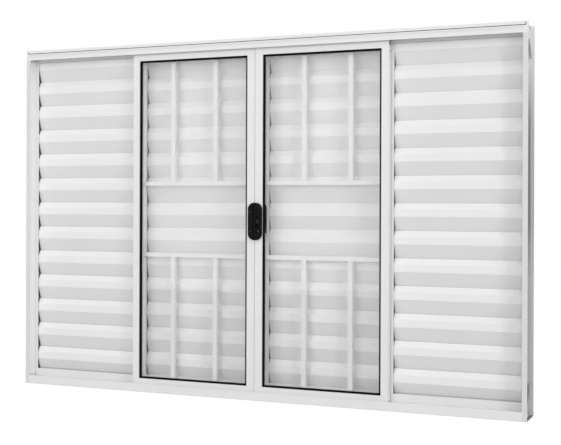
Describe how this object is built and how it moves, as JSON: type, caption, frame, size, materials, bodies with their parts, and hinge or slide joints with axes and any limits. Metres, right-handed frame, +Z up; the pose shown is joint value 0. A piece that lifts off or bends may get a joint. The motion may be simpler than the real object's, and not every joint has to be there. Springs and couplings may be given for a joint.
{
  "type": "sliding shutter window",
  "caption": "White aluminium window with sliding glass leaves, a security grille behind them and louvred shutters, fixed at the sides and sliding in the middle.",
  "frame": {"origin": "middle of the underside of the whole window, level with the bottom of the sill", "axes": "+X to the right seen from the room, +Y towards the outside, +Z up"},
  "size_m": [1.5, 0.09, 1],
  "materials": {
    "frame_paint": "white powder coat, satin",
    "leaf_paint": "white powder coat, satin",
    "shutter_paint": "white powder coat, satin",
    "slat_paint": "white coil-coated sheet, satin",
    "grille_paint": "white powder coat, satin",
    "gasket": "black, matt",
    "glass": "clear float glass",
    "latch": "black, satin",
    "nylon": "natural nylon",
    "anchor": "mill finish"
  },
  "bodies": {
    "root": {"grille_bars": "grille_paint", "grille_lower_rail": "grille_paint", "grille_upper_rail": "grille_paint", "head_track": "frame_paint", "jamb_anchors": "anchor", "latch_keeper": "latch", "latch_lever": "latch", "latch_outer_shell": "latch", "latch_shell": "latch", "leaf_rollers": "nylon", "left_fixed_shutter_bottom_rail": "shutter_paint", "left_fixed_shutter_inner_stile": "shutter_paint", "left_fixed_shutter_jamb_stile": "shutter_paint", "left_fixed_shutter_slats": "slat_paint", "left_fixed_shutter_top_rail": "shutter_paint", "left_glass_leaf_bottom_rail": "leaf_paint", "left_glass_leaf_gasket": "gasket", "left_glass_leaf_meeting_stile": "leaf_paint", "left_glass_leaf_outer_stile": "leaf_paint", "left_glass_leaf_pane": "glass", "left_glass_leaf_top_rail": "leaf_paint", "left_jamb": "frame_paint", "left_sliding_shutter_bottom_rail": "shutter_paint", "left_sliding_shutter_meeting_stile": "shutter_paint", "left_sliding_shutter_outer_stile": "shutter_paint", "left_sliding_shutter_slats": "slat_paint", "left_sliding_shutter_top_rail": "shutter_paint", "right_fixed_shutter_bottom_rail": "shutter_paint", "right_fixed_shutter_inner_stile": "shutter_paint", "right_fixed_shutter_jamb_stile": "shutter_paint", "right_fixed_shutter_slats": "slat_paint", "right_fixed_shutter_top_rail": "shutter_paint", "right_glass_leaf_bottom_rail": "leaf_paint", "right_glass_leaf_gasket": "gasket", "right_glass_leaf_meeting_stile": "leaf_paint", "right_glass_leaf_outer_stile": "leaf_paint", "right_glass_leaf_pane": "glass", "right_glass_leaf_top_rail": "leaf_paint", "right_jamb": "frame_paint", "right_sliding_shutter_bottom_rail": "shutter_paint", "right_sliding_shutter_meeting_stile": "shutter_paint", "right_sliding_shutter_outer_stile": "shutter_paint", "right_sliding_shutter_slats": "slat_paint", "right_sliding_shutter_top_rail": "shutter_paint", "sill_track": "frame_paint"}
  },
  "joints": []
}
